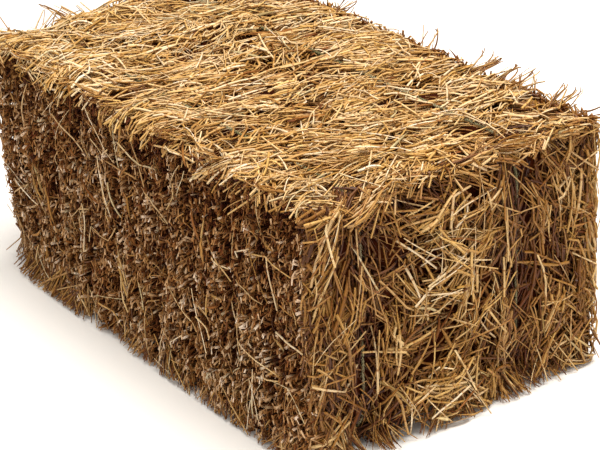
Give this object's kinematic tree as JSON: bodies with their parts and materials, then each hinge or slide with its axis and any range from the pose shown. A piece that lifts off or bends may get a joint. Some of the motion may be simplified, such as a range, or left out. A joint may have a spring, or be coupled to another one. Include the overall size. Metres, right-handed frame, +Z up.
{
  "type": "small square straw bale",
  "caption": "Small square bale of straw in pressed flakes, tied lengthwise with twine, lying flat on a string face.",
  "frame": {"origin": "middle of the underside", "axes": "+X along the bale's length, +Y across its width towards the folded side, +Z up out of the upper string face"},
  "size_m": [0.8, 0.46, 0.36],
  "materials": {
    "straw": "dry cereal straw, matt with a faint waxy sheen on the stems",
    "twine": "twisted sisal baler twine, weathered grey-green, fibrous"
  },
  "bodies": {
    "root": {"flake_1": "straw", "flake_2": "straw", "flake_3": "straw", "flake_4": "straw", "flake_5": "straw", "flake_6": "straw", "flake_7": "straw", "flake_8": "straw", "flake_9": "straw", "twine_cut_side": "twine", "twine_folded_side": "twine"}
  },
  "joints": []
}
